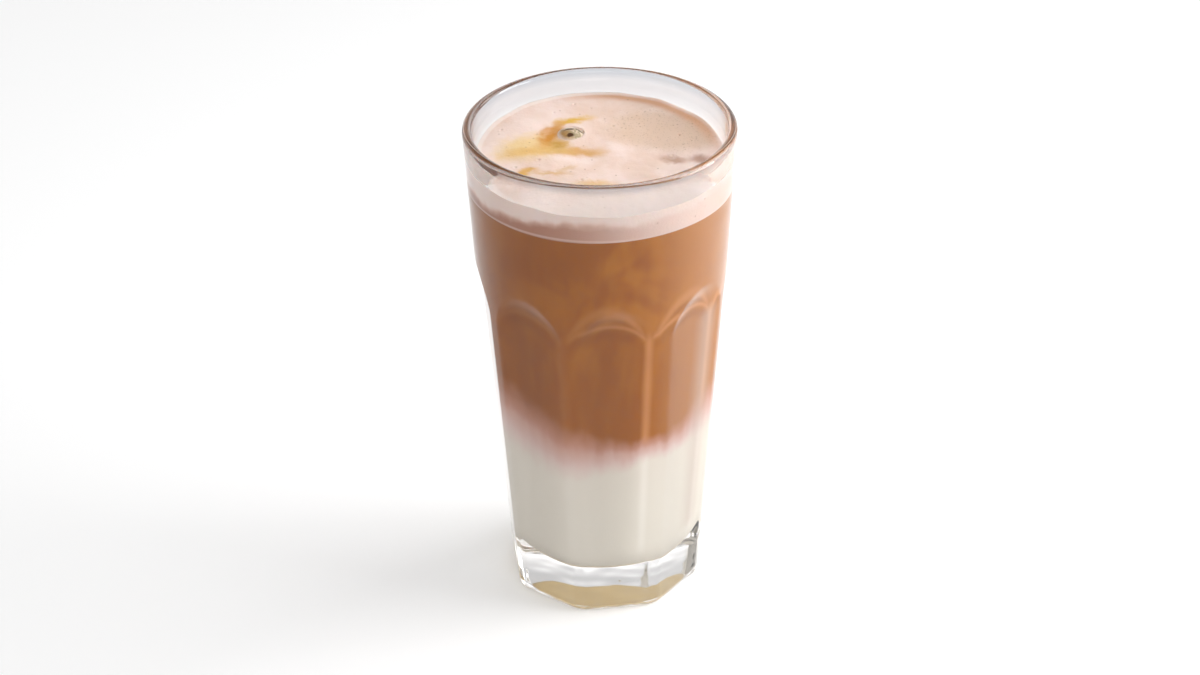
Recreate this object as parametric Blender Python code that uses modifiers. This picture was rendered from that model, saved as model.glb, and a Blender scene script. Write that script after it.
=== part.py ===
"""Iced mocha in its panelled tumbler: glass, milk, coffee, foam and one ice cube.

The tumbler is round at the mouth and eight-sided below its arched shoulder. It stands on
the plane z = 0 with its axis on Z and the flat of one panel facing -Y. Lengths are metres.
"""

import math

import bmesh
import bpy
from mathutils import Euler, Matrix, Vector

# Tumbler
HEIGHT = 0.155
RIM_RADIUS = 0.0409
SHOULDER_HEIGHT = 0.107
SHOULDER_RADIUS = 0.0381
FOOT_RADIUS = 0.0299
FOOT_CHAMFER = 0.0012
LIP_RADIUS = 0.0014
LIP_STEPS = 6

# Inside of the tumbler
NECK_HEIGHT = 0.147
NECK_RADIUS = 0.0366
WALL_FOOT_HEIGHT = 0.0205
WALL_FOOT_RADIUS = 0.0258
FLOOR_HEIGHT = 0.0118
FLOOR_DISH = 0.0004
FLOOR_CORNER = 0.0105
CORNER_STEPS = 6

# Panels
PANELS = 8
PANEL_DEPTH_RATIO = 0.945
ARCH_RADIUS = 0.017
ARCH_CENTRE_HEIGHT = 0.090
ARCH_SLOPE = 2.6
ARCH_SEGMENTS = 40
PANEL_REACH = 0.007
PANEL_DROP = 0.108

# Levels of the drink
MILK_TOP = 0.0585
MILK_SWAY = 0.0030
MILK_DIP = 0.0022
COFFEE_TOP = 0.1352
COFFEE_RIPPLE = 0.0003
FOAM_TOP = 0.1456
FOAM_TILT = 0.052
GAP = 0.0003

# Direction from which the lowest part of the milk's edge shows, as an angle from -Y towards +X
FRONT_ANGLE = math.radians(-7.5)

# Foam relief: each hollow is (x, y, radius, depth)
FOAM_HOLLOWS = (
    (0.0207, -0.0063, 0.0042, 0.0007),
    (0.0290, -0.0076, 0.0036, 0.0006),
    (-0.0060, 0.0060, 0.0060, 0.0004),
)
FOAM_SWELL = 0.0003
FOAM_SWELL_LENGTH = 0.018
FOAM_SWELL_PHASE = 0.7
MENISCUS_HEIGHT = 0.0005
MENISCUS_WIDTH = 0.003

# Ice cube
ICE_SIDE = 0.021
ICE_ROUNDING = 0.0062
ICE_TILT = Euler((math.radians(43.0), math.radians(29.0), math.radians(22.0)))
ICE_PLACE = (-0.0066, 0.0124)
ICE_PEAK = 0.1478

# Fineness of the turned solids
GLASS_STEPS = 96
DRINK_STEPS = 72
SURFACE_RINGS = 7
BOUNDARY_RINGS = 5
MERGE = 0.00005


def clear_scene():
    for obj in list(bpy.data.objects):
        bpy.data.objects.remove(obj, do_unlink=True)


def new_collection(name):
    collection = bpy.data.collections.new(name)
    bpy.context.scene.collection.children.link(collection)
    return collection


def principled(name, colour, roughness, transmission=0.0, ior=1.45):
    material = bpy.data.materials.new(name)
    material.use_nodes = True
    shader = material.node_tree.nodes["Principled BSDF"]
    shader.inputs["Base Color"].default_value = (*colour, 1.0)
    shader.inputs["Roughness"].default_value = roughness
    shader.inputs["Metallic"].default_value = 0.0
    shader.inputs["Transmission Weight"].default_value = transmission
    shader.inputs["IOR"].default_value = ior
    material.diffuse_color = (*colour, 1.0)
    return material


def lerp_radius(height, low, high):
    """Radius at a height on the straight line between two (radius, height) points."""
    share = (height - low[1]) / (high[1] - low[1])
    return low[0] + share * (high[0] - low[0])


def arc_points(centre, radius, start, end, steps):
    """Points (radius, height) along an arc, its angles counted from the outward direction."""
    points = []
    for step in range(steps + 1):
        angle = start + (end - start) * step / steps
        points.append((centre[0] + radius * math.cos(angle), centre[1] + radius * math.sin(angle)))
    return points


def inner_radius(height):
    """Radius of the tumbler's inner wall at a height above the rounded floor corner."""
    foot = (WALL_FOOT_RADIUS, WALL_FOOT_HEIGHT)
    neck = (NECK_RADIUS, NECK_HEIGHT)
    lip = (RIM_RADIUS - 2 * LIP_RADIUS, HEIGHT - LIP_RADIUS)
    if height <= NECK_HEIGHT:
        return lerp_radius(height, foot, neck)
    return lerp_radius(height, neck, lip)


def floor_profile(inset):
    """Inside of the floor from its middle out to the wall, moved inwards by the inset."""
    wall_slope = (NECK_RADIUS - WALL_FOOT_RADIUS) / (NECK_HEIGHT - WALL_FOOT_HEIGHT)
    wall_angle = -math.atan(wall_slope)
    radius = FLOOR_CORNER - inset
    centre_height = FLOOR_HEIGHT + FLOOR_DISH + FLOOR_CORNER
    centre_radius = inner_radius(centre_height) - FLOOR_CORNER / math.cos(wall_angle)
    corner = arc_points((centre_radius, centre_height), radius, -math.pi / 2, wall_angle, CORNER_STEPS)
    return [(0.0, FLOOR_HEIGHT + inset)] + corner


def glass_profile():
    """Closed outline of the tumbler, from its floor up over the lip and down its outer side."""
    lip_centre = (RIM_RADIUS - LIP_RADIUS, HEIGHT - LIP_RADIUS)
    inside = floor_profile(0.0) + [(NECK_RADIUS, NECK_HEIGHT)]
    lip = arc_points(lip_centre, LIP_RADIUS, math.pi, 0.0, LIP_STEPS)
    outside = [
        (SHOULDER_RADIUS, SHOULDER_HEIGHT),
        (FOOT_RADIUS, FOOT_CHAMFER),
        (FOOT_RADIUS - FOOT_CHAMFER, 0.0),
        (0.0, 0.0),
    ]
    return inside + lip + outside


def turned(name, profile, steps, collection):
    """A solid turned about Z from a profile that runs down its outer side."""
    mesh = bpy.data.meshes.new(name)
    points = [(radius, 0.0, height) for radius, height in profile]
    edges = [(index, index + 1) for index in range(len(points) - 1)]
    mesh.from_pydata(points, edges, [])
    obj = bpy.data.objects.new(name, mesh)
    collection.objects.link(obj)
    screw = obj.modifiers.new("Turn", "SCREW")
    screw.steps = steps
    screw.render_steps = steps
    screw.use_merge_vertices = True
    screw.merge_threshold = MERGE
    return obj


def applied(obj):
    """Replace the object's mesh with the result of its modifiers."""
    graph = bpy.context.evaluated_depsgraph_get()
    mesh = bpy.data.meshes.new_from_object(obj.evaluated_get(graph))
    obj.modifiers.clear()
    obj.data = mesh
    return obj


def finish(obj, material, sharp_angle=35.0):
    obj.data.materials.clear()
    obj.data.materials.append(material)
    obj.data.shade_smooth()
    obj.data.set_sharp_from_angle(angle=math.radians(sharp_angle))


def cut(obj, cutter, name):
    boolean = obj.modifiers.new(name, "BOOLEAN")
    boolean.operation = "DIFFERENCE"
    boolean.solver = "EXACT"
    boolean.object = cutter


def as_cutter(obj):
    obj.hide_render = True
    obj.display_type = "WIRE"
    return obj


def panel_cutter(index, collection):
    """Arch-topped block whose inner face is one panel's flat and whose edge flares outwards."""
    flat_radius = PANEL_DEPTH_RATIO * FOOT_RADIUS
    flat_slope = PANEL_DEPTH_RATIO * (SHOULDER_RADIUS - FOOT_RADIUS) / SHOULDER_HEIGHT
    body = bmesh.new()
    bmesh.ops.create_cone(
        body,
        cap_ends=True,
        segments=ARCH_SEGMENTS,
        radius1=ARCH_RADIUS + ARCH_SLOPE * PANEL_REACH,
        radius2=ARCH_RADIUS,
        depth=PANEL_REACH,
    )
    bmesh.ops.rotate(body, verts=body.verts, matrix=Matrix.Rotation(-math.pi / 2, 3, "X"))
    for vertex in body.verts:
        vertex.co.y -= PANEL_REACH / 2
        drop = PANEL_DROP if vertex.co.z < 0 else 0.0
        vertex.co.z += ARCH_CENTRE_HEIGHT - drop
    mesh = bpy.data.meshes.new(f"panel_cutter_{index}")
    body.to_mesh(mesh)
    body.free()
    obj = bpy.data.objects.new(mesh.name, mesh)
    collection.objects.link(obj)
    lean = Matrix.Rotation(math.atan(flat_slope), 4, "X")
    outwards = Matrix.Translation((0.0, -flat_radius, 0.0))
    turn = Matrix.Rotation(2 * math.pi * index / PANELS, 4, "Z")
    obj.matrix_world = turn @ outwards @ lean
    return as_cutter(obj)


def build_glass(parts, cutters):
    glass = turned("glass", glass_profile(), GLASS_STEPS, parts)
    for index in range(PANELS):
        cut(glass, panel_cutter(index, cutters), f"Panel {index + 1}")
    applied(glass)
    finish(glass, principled("Clear glass", (0.93, 0.95, 0.95), 0.02, 1.0, 1.5), 20.0)


def milk_edge(x, y):
    """Height of the boundary between milk and coffee, lowest at the front."""
    reach = math.hypot(x, y) / inner_radius(MILK_TOP)
    angle = math.atan2(x, -y) - FRONT_ANGLE
    return MILK_TOP - MILK_SWAY * reach * math.cos(angle) - MILK_DIP * reach**2 * math.cos(2 * angle)


def coffee_edge(x, y):
    """Height of the boundary between coffee and foam."""
    return COFFEE_TOP + COFFEE_RIPPLE * math.sin(3 * math.atan2(x, -y)) * math.hypot(x, y) / NECK_RADIUS


def foam_edge(x, y):
    """Height of the foam's surface: leaning, dimpled and drawn up a little at the wall."""
    height = FOAM_TOP + FOAM_TILT * y
    for centre_x, centre_y, radius, depth in FOAM_HOLLOWS:
        distance = math.hypot(x - centre_x, y - centre_y) / radius
        height -= depth * math.exp(-(distance**2))
    wave = math.pi / FOAM_SWELL_LENGTH
    height += FOAM_SWELL * math.sin(wave * x + FOAM_SWELL_PHASE) * math.cos(wave * y)
    to_wall = inner_radius(FOAM_TOP) - GAP - math.hypot(x, y)
    return height + MENISCUS_HEIGHT * math.exp(-max(to_wall, 0.0) / MENISCUS_WIDTH)


def level_points(height, rings):
    """Points of a level face from the axis out to the wall."""
    radius = inner_radius(height) - GAP
    return [(radius * ring / rings, height) for ring in range(rings + 1)]


def shape_level(obj, level, edge, shift):
    """Move the level face at a height onto an uneven surface, following the leaning wall."""
    for vertex in obj.data.vertices:
        if abs(vertex.co.z - level) > MERGE:
            continue
        height = edge(vertex.co.x, vertex.co.y) + shift
        narrowing = (inner_radius(height) - GAP) / (inner_radius(level) - GAP)
        vertex.co = (vertex.co.x * narrowing, vertex.co.y * narrowing, height)


def layer(name, low, high, parts):
    """A turned layer of the drink between two levels, clear of the wall."""
    profile = level_points(high, SURFACE_RINGS) + level_points(low, BOUNDARY_RINGS)[::-1]
    return applied(turned(name, profile, DRINK_STEPS, parts))


def build_milk(parts):
    profile = level_points(MILK_TOP, BOUNDARY_RINGS) + floor_profile(GAP)[::-1]
    milk = applied(turned("milk", profile, DRINK_STEPS, parts))
    shape_level(milk, MILK_TOP, milk_edge, -GAP / 2)
    finish(milk, principled("Milk", (0.80, 0.74, 0.62), 0.35))


def build_coffee(parts, pocket):
    coffee = layer("coffee", MILK_TOP, COFFEE_TOP, parts)
    shape_level(coffee, MILK_TOP, milk_edge, GAP / 2)
    shape_level(coffee, COFFEE_TOP, coffee_edge, -GAP / 2)
    cut(coffee, pocket, "Ice pocket")
    finish(coffee, principled("Coffee with milk", (0.30, 0.12, 0.045), 0.30))


def build_foam(parts, pocket):
    foam = layer("foam", COFFEE_TOP, FOAM_TOP, parts)
    shape_level(foam, COFFEE_TOP, coffee_edge, GAP / 2)
    shape_level(foam, FOAM_TOP, foam_edge, 0.0)
    cut(foam, pocket, "Ice pocket")
    finish(foam, principled("Milk foam", (0.83, 0.66, 0.54), 0.55))


def rounded_cube(name, side, rounding, collection):
    """A cube with melted, rounded edges about its own middle."""
    body = bmesh.new()
    bmesh.ops.create_cube(body, size=side)
    mesh = bpy.data.meshes.new(name)
    body.to_mesh(mesh)
    body.free()
    obj = bpy.data.objects.new(name, mesh)
    collection.objects.link(obj)
    bevel = obj.modifiers.new("Melted edges", "BEVEL")
    bevel.width = rounding
    bevel.segments = 5
    bevel.use_clamp_overlap = False
    applied(obj)
    return obj


def place_ice(obj):
    """Tilt the cube and let its highest point reach the peak height."""
    turn = ICE_TILT.to_matrix()
    highest = max((turn @ vertex.co).z for vertex in obj.data.vertices)
    obj.rotation_euler = ICE_TILT
    obj.location = Vector((*ICE_PLACE, ICE_PEAK - highest))


def build_ice(parts, cutters):
    """The ice cube, and the slightly larger cube that leaves room for it in the drink."""
    ice = rounded_cube("ice", ICE_SIDE, ICE_ROUNDING, parts)
    place_ice(ice)
    finish(ice, principled("Ice", (0.86, 0.88, 0.84), 0.05, 0.9, 1.31), 60.0)
    pocket = rounded_cube("ice_pocket", ICE_SIDE + 2 * GAP, ICE_ROUNDING + GAP, cutters)
    pocket.rotation_euler = ice.rotation_euler
    pocket.location = ice.location
    return as_cutter(pocket)


def main():
    clear_scene()
    parts = new_collection("Iced mocha")
    cutters = new_collection("Cutters")
    build_glass(parts, cutters)
    pocket = build_ice(parts, cutters)
    build_milk(parts)
    build_coffee(parts, pocket)
    build_foam(parts, pocket)


main()
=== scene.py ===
"""Dresses the iced mocha: a pressed-glass tumbler filled with milk, coffee, foam and an ice cube.

Lengths are metres. The tumbler's axis is Z, it stands on z = 0, and the flat of one panel faces -Y.
In materials, places are millimetres, noise scales are cycles for each metre, and colours are written
as they look on screen, from 0 to 255.
"""

import logging
import math
from collections.abc import Callable, Iterator, Sequence
from contextlib import contextmanager
from dataclasses import dataclass
from enum import Enum

import bmesh
import bpy
from mathutils import Euler, Matrix, Vector, noise

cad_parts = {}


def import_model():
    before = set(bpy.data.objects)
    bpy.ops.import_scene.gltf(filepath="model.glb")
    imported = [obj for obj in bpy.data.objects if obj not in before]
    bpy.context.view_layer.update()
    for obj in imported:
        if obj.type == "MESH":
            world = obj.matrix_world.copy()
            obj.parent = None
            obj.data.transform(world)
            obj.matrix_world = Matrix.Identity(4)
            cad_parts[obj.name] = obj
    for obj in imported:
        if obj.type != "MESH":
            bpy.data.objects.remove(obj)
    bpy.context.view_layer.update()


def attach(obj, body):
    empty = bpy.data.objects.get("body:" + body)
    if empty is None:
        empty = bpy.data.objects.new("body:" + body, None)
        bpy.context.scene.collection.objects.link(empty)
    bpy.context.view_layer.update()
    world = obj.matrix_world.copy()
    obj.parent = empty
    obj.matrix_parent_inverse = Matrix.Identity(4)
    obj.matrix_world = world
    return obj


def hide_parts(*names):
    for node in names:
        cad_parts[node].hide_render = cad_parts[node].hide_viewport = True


LOG = logging.getLogger("iced_mocha")
MM = 0.001
TINY = MM / 100
MICRON = MM / 1000
SMOOTH_ANGLE = math.radians(50.0)
# Direction, seen from above, towards the lit side. The drink and the foam are painted paler
# towards it and darker away from it, as painted light and shade.
LIT_SIDE = (0.99, -0.13)

Point = tuple[float, float]
Span = tuple[float, float]
Colour = tuple[float, float, float]
Socket = bpy.types.NodeSocket
Material = bpy.types.Material
Mesh = bpy.types.Mesh
Piece = bpy.types.Object


def smooth_minimum(first: float, second: float, width: float) -> float:
    """Smaller of two values, with the corner between them rounded over this width."""
    share = max(width - abs(first - second), 0.0) / width
    return min(first, second) - share * share * width / 4


def smooth_step(value: float, low: float, high: float) -> float:
    """Eased ramp from 0 at the low value to 1 at the high one."""
    share = min(max((value - low) / (high - low), 0.0), 1.0)
    return share * share * (3 - 2 * share)


def arc(centre: Point, radius: float, ends: Span, steps: int) -> list[Point]:
    """Points (radius, height) on an arc, from the first of two angles to the second."""
    angles = [ends[0] + (ends[1] - ends[0]) * step / steps for step in range(steps + 1)]
    return [(centre[0] + radius * math.cos(angle), centre[1] + radius * math.sin(angle)) for angle in angles]


def direction(azimuth: float, elevation: float) -> Vector:
    """Direction given by degrees from -Y towards +X and degrees above the horizon."""
    turn, rise = math.radians(azimuth), math.radians(elevation)
    return Vector((math.sin(turn) * math.cos(rise), -math.cos(turn) * math.cos(rise), math.sin(rise)))


def linear(colour: Colour) -> tuple[float, float, float, float]:
    """Screen colour from 0 to 255 as the linear colour that shaders use."""
    levels = [part / 255 for part in colour]
    return (*(part / 12.92 if part <= 0.04045 else ((part + 0.055) / 1.055) ** 2.4 for part in levels), 1.0)


class Value:
    """A shader value that takes part in Python arithmetic by adding Math nodes."""

    def __init__(self, graph: "Graph", socket: Socket) -> None:
        """Wrap a socket of the graph."""
        self.graph = graph
        self.socket = socket

    def math(self, operation: str, *operands: "Value | float") -> "Value":
        """Result of a Math node's operation on values or numbers, in the node's order."""
        return self.graph.value("ShaderNodeMath", {"operation": operation}, dict(enumerate(operands)))

    def __add__(self, other: "Value | float") -> "Value":
        """Sum."""
        return self.math("ADD", self, other)

    def __sub__(self, other: "Value | float") -> "Value":
        """Difference."""
        return self.math("SUBTRACT", self, other)

    def __rsub__(self, other: float) -> "Value":
        """Difference with a number on the left."""
        return self.math("SUBTRACT", other, self)

    def __mul__(self, other: "Value | float") -> "Value":
        """Product."""
        return self.math("MULTIPLY", self, other)

    def __truediv__(self, other: "Value | float") -> "Value":
        """Quotient."""
        return self.math("DIVIDE", self, other)

    __radd__ = __add__
    __rmul__ = __mul__

    def maximum(self, other: "Value | float") -> "Value":
        """Larger of the two."""
        return self.math("MAXIMUM", self, other)

    def hypot(self, other: "Value") -> "Value":
        """Length of the diagonal of two sides at a right angle."""
        return self.math("SQRT", self * self + other * other)

    def bell(self, width: float) -> "Value":
        """Soft bump: 1 where the value is 0, falling to 0 at this distance on either side."""
        return self.math("ABSOLUTE", self).step(width, 0.0)

    def step(self, low: float, high: float) -> "Value":
        """Eased ramp from 0 at the low value to 1 at the high one, which may be the smaller.

        Args:
            low: Value at which the ramp is 0.
            high: Value at which it is 1.

        Returns:
            The ramp's output.
        """
        settings = {"interpolation_type": "SMOOTHSTEP"}
        ends = {"Value": self, "From Min": min(low, high), "From Max": max(low, high)}
        ramp = self.graph.value("ShaderNodeMapRange", settings, ends)
        return ramp if low < high else 1.0 - ramp


class Graph:
    """The node tree of one material.

    Attributes:
        material: The material.
        tree: Its nodes and links.
        place: Position on the object, which is also the position in the frame.
        x, y, z: Its parts along the three axes, in millimetres.
    """

    def __init__(self, name: str) -> None:
        """Start a material of this name.

        Args:
            name: Name of the material.
        """
        self.material = bpy.data.materials.new(name)
        self.material.use_nodes = True
        self.tree = self.material.node_tree
        self.tree.nodes.clear()
        self.place = self.node("ShaderNodeTexCoord").outputs["Object"]
        split = self.node("ShaderNodeSeparateXYZ", None, {0: self.place})
        self.x, self.y, self.z = (Value(self, output) * (1.0 / MM) for output in split.outputs)

    def node(self, kind: str, settings: dict | None = None, inputs: dict | None = None) -> bpy.types.Node:
        """Add a node.

        Args:
            kind: The node's type name.
            settings: Attributes to set before the sockets.
            inputs: Values, links or Value objects by socket name or number.

        Returns:
            The new node.
        """
        made = self.tree.nodes.new(kind)
        for key, setting in (settings or {}).items():
            setattr(made, key, setting)
        for key, content in (inputs or {}).items():
            socket = made.inputs[key]
            content = content.socket if isinstance(content, Value) else content
            if isinstance(content, Socket):
                self.tree.links.new(content, socket)
            else:
                socket.default_value = content
        return made

    def value(self, kind: str, settings: dict | None = None, inputs: dict | None = None) -> Value:
        """Add a node and wrap its first output."""
        return Value(self, self.node(kind, settings, inputs).outputs[0])

    def side(self) -> Value:
        """Distance from the axis towards the lit side, along which light and shade are painted."""
        return self.x * LIT_SIDE[0] + self.y * LIT_SIDE[1]

    def turn(self) -> Value:
        """Angle round the axis, from -Y towards +X."""
        return self.x.math("ARCTAN2", self.x, self.y * -1.0)

    def noise(self, scale: float, detail: float, distortion: float = 0.0, upright: float = 1.0) -> Value:
        """Soft noise from 0 to 1.

        Args:
            scale: Cycles for each metre.
            detail: Number of finer layers.
            distortion: How strongly it is swirled.
            upright: Scale along Z as a share of the scale across.

        Returns:
            The noise.
        """
        place = self.place
        if upright != 1.0:
            settings = {"Vector": place, "Scale": (1.0, 1.0, upright)}
            place = self.node("ShaderNodeMapping", None, settings).outputs[0]
        inputs = {"Vector": place, "Scale": scale, "Detail": detail, "Distortion": distortion}
        return self.value("ShaderNodeTexNoise", None, inputs)

    def sway(self, reach: float, *noise_inputs: float) -> Value:
        """Noise about 0 with this distance between its lowest and highest value."""
        return (self.noise(*noise_inputs) - 0.5) * reach

    def paint(self, base: Socket | Colour, *coats: tuple[Value | float, Socket | Colour]) -> Socket:
        """Lay colours over a base, one after another.

        Args:
            base: The lowest colour.
            coats: How much of each colour shows, and the colour.

        Returns:
            The colour that results.
        """
        for share, colour in coats:
            colours = [linear(part) if isinstance(part, tuple) else part for part in (base, colour)]
            inputs = {"Factor": share, 6: colours[0], 7: colours[1]}
            base = self.node("ShaderNodeMix", {"data_type": "RGBA"}, inputs).outputs[2]
        return base

    def bump(self, height: Value, distance: float) -> Socket:
        """Normal of a surface raised by a height from 0 to 1 times a distance."""
        return self.node("ShaderNodeBump", None, {"Height": height, "Distance": distance}).outputs[0]

    def finish(self, colour: Socket, roughness: Value | float, others: dict) -> Material:
        """Give the material its shader.

        Args:
            colour: Base colour.
            roughness: Roughness.
            others: The Principled shader's other sockets by name.

        Returns:
            The material.
        """
        inputs = {"Base Color": colour, "Roughness": roughness, **others}
        shader = self.node("ShaderNodeBsdfPrincipled", None, inputs).outputs[0]
        self.node("ShaderNodeOutputMaterial", None, {"Surface": shader})
        return self.material


@dataclass(frozen=True)
class Ramp:
    """An eased ramp from 0 to its height.

    Attributes:
        low, high: Values where it begins and where it reaches its height, in either order.
        height: What it reaches.
    """

    low: float
    high: float
    height: float = 1.0

    def at(self, value: Value) -> Value:
        """The ramp's output for a value."""
        share = value.step(self.low, self.high)
        return share if self.height == 1.0 else share * self.height


@dataclass(frozen=True)
class GlassFinish:
    """Clear pressed glass with faint smears, a little grey in the lip, and painted shade that greys it above
    the foam at the back.

    Attributes:
        name: Name of the material.
        tint, shaded_upper_tint, lip_tint: Colours of the light that passes the body, the wall above the
        foam at the back, greyer there as painted shade, and the thick lip.
        upper_rise, back: How the upper tint sets in upwards, and towards +Y.
        lip_rise: How the lip's tint sets in upwards.
        ior: Refractive index.
        smear: Roughness of the smears.
    """

    name: str = "Pressed glass"
    tint: Colour = (243, 242, 242)
    shaded_upper_tint: Colour = (224, 221, 222)
    lip_tint: Colour = (197, 200, 206)
    upper_rise: Ramp = Ramp(145.0, 149.0)
    back: Ramp = Ramp(-8.0, 14.0)
    lip_rise: Ramp = Ramp(151.5, 153.5)
    ior: float = 1.47
    smear: float = 0.02

    def material(self) -> Material:
        """Make the material.

        Returns:
            The material.
        """
        graph = Graph(self.name)
        smears = graph.noise(60.0, 2.0, 0.6).step(0.45, 0.75)
        # Painted shade: the wall above the foam at the back is tinted greyer.
        upper = self.upper_rise.at(graph.z) * self.back.at(graph.y)
        lip = self.lip_rise.at(graph.z)
        colour = graph.paint(self.tint, (upper, self.shaded_upper_tint), (lip, self.lip_tint))
        others = {"IOR": self.ior, "Transmission Weight": 1.0}
        return graph.finish(colour, smears * self.smear, others)


@dataclass(frozen=True)
class DrinkFinish:
    """Milk at the bottom that turns into milky coffee through a soft, uneven boundary.

    The ribs and arches of the glass gather the light of the key lamp into soft bands on the drink,
    which are painted into its colour as painted light and shade. The drink is also painted darker
    towards its shaded side and paler towards its lit side. Its ramps run over heights, apart from
    those of its two sides, which run from the shaded side at -1 to the lit side at 1.

    Attributes:
        name: Name of the material.
        syrup, pale_and_lit_syrup: Colours of the sweet film under the milk, and of the film where it is
        paler at random and painted paler, as painted light, towards the lit side.
        painted_glow_strength: Strength of the film's painted light, an emission that stands in for the
        light that the milk passes down.
        milk, bright_milk: Colours of the milk, and of the milk in the painted light that the ribs gather.
        tinted_milk: Colour where the first coffee reaches the milk.
        rosy_coffee: Colour where milk and coffee mix half and half.
        coffee, bright_coffee: Colours of the milky coffee and of its lighter clouds.
        shaded_coffee, lit_coffee: Colours of the painted shade on the coffee's shaded side and of the
        painted light on its lit side.
        gathered, shaded: Colours of the coffee in the painted light that the glass gathers, and in the
        painted shade beside it.
        wall_light: Colour of the painted light, a pale band in which the wall's edge shows on the drink.
        radius: Rough radius of the drink.
        boundary: Middle height of the boundary between milk and coffee.
        dark_rise, pale_rise: How much higher it lies on the shaded side and on the lit side.
        streak_rise: How much the upright streaks move it.
        spread: Height over which milk turns into coffee.
        dark_spread, pale_spread: What these two sides add to that height.
        tinting, mixing, browning: How the tinted milk, the half and half and the coffee set in over
            that height, which runs from 0 to 1.
        clouding, streaking: How clouds and streaks lighten the coffee.
        side_shade, side_light: How the painted shade and the painted light set in on the coffee's two
        sides.
        film, film_lit_side: How the sweet film sets in downwards, and how it is painted paler towards
        the lit side, as painted light.
        painted_glow_fade: How the film's painted light, its emission, sets in downwards.
        relief_share, milk_share: How strongly the painted light and shade show on the coffee, and the
        painted light on the milk.
        shift: Angle by which the gathered light lies beside the ribs.
        arch_lift: How far below the glass's arches their light lies.
        rib_width, crest_width, arch_width: Half widths of the light that a rib, the top of a cove
            and the arch below it gather.
        shade_width: Half width of the shade below an arch.
        cove_inset, cove_width: Place and half width of the shade between an arch and the top of its
            cove, measured from each of them.
        rib_foot, rib_top, arch_foot: How the bands of ribs and arches set in and end.
        lit: How the light sets in along X.
        crest_light, arch_light: Least light that the top of a cove and an arch gather, and what the
            lit side adds.
        shade: How the shade below the arches sets in.
        cove_shade: How dark the shade in a cove is.
        edge_angle, edge_width: Middle of the wall's band as an angle from -Y towards +X, and the
            angle from there to its ends.
        edge_foot, edge_top: How that band sets in and ends.
    """

    name: str
    syrup: Colour = (236, 212, 164)
    pale_and_lit_syrup: Colour = (240, 228, 206)
    painted_glow_strength: float = 0.16
    milk: Colour = (231, 225, 213)
    bright_milk: Colour = (248, 244, 236)
    tinted_milk: Colour = (225, 198, 191)
    rosy_coffee: Colour = (204, 154, 136)
    coffee: Colour = (161, 91, 8)
    bright_coffee: Colour = (182, 112, 22)
    shaded_coffee: Colour = (146, 78, 2)
    lit_coffee: Colour = (190, 126, 56)
    gathered: Colour = (224, 160, 104)
    shaded: Colour = (138, 74, 6)
    wall_light: Colour = (198, 180, 168)
    radius: float = 30.0
    boundary: float = 58.5
    dark_rise: Ramp = Ramp(-0.2, -1.0, 5.5)
    pale_rise: Ramp = Ramp(0.55, 1.05, 4.0)
    streak_rise: float = 4.5
    spread: float = 11.0
    dark_spread: Ramp = Ramp(0.55, -0.8, 18.0)
    pale_spread: Ramp = Ramp(0.65, 1.05, 11.0)
    tinting: Ramp = Ramp(0.0, 0.42)
    mixing: Ramp = Ramp(0.25, 0.70)
    browning: Ramp = Ramp(0.50, 1.0)
    clouding: Ramp = Ramp(70.0, 110.0, 0.9)
    streaking: float = 1.8
    side_shade: Ramp = Ramp(0.1, -0.9, 0.55)
    side_light: Ramp = Ramp(0.3, 0.9, 0.75)
    film: Ramp = Ramp(15.0, 12.2)
    film_lit_side: Ramp = Ramp(-0.1, 0.8, 0.6)
    painted_glow_fade: Ramp = Ramp(13.0, 12.2)
    relief_share: float = 0.55
    milk_share: float = 0.5
    shift: float = math.radians(5.0)
    arch_lift: float = 1.5
    rib_width: float = 2.9
    crest_width: float = 3.2
    arch_width: float = 1.3
    shade_width: float = 2.8
    cove_inset: float = 2.2
    cove_width: float = 2.0
    rib_foot: Ramp = Ramp(16.0, 24.0)
    rib_top: Ramp = Ramp(104.0, 98.0, 0.9)
    arch_foot: Ramp = Ramp(97.0, 101.0)
    lit: Ramp = Ramp(-24.0, 12.0)
    crest_light: Span = (0.1, 0.55)
    arch_light: Span = (0.1, 0.8)
    shade: Ramp = Ramp(90.0, 103.0, 0.6)
    cove_shade: float = 0.6
    edge_angle: float = math.radians(60.0)
    edge_width: float = math.radians(16.0)
    edge_foot: Ramp = Ramp(18.0, 24.0, 0.5)
    edge_top: Ramp = Ramp(103.0, 97.0)

    def material(self) -> Material:
        """Make the material.

        Returns:
            The material.
        """
        graph = Graph(self.name)
        z = graph.z
        side = graph.side() / self.radius
        streaks = graph.sway(1.0, 300.0, 3.0, 0.2, 0.22)
        middle = self.boundary + self.dark_rise.at(side) + streaks * self.streak_rise
        middle = middle + self.pale_rise.at(side) + graph.sway(7.0, 50.0, 3.0, 0.4)
        spread = self.spread + self.dark_spread.at(side) + self.pale_spread.at(side)
        share = (z - middle) / spread + 0.5
        clouds = graph.noise(34.0, 3.0, 1.4).step(0.40, 0.64) * self.clouding.at(z)
        gathered, shaded = self.relief(graph)
        coffee = graph.paint(
            self.coffee,
            (clouds + streaks * self.streaking, self.bright_coffee),
            # Painted shade on the shaded side and painted light on the lit side.
            (self.side_shade.at(side), self.shaded_coffee),
            (self.side_light.at(side), self.lit_coffee),
            # Painted shade and painted light from the ribs and arches of the glass.
            (shaded * self.relief_share, self.shaded),
            (gathered * self.relief_share, self.gathered),
        )
        # Painted light: a pale upright band where the wall's edge shows on the drink.
        edge = (graph.turn() - self.edge_angle).bell(self.edge_width)
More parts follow.
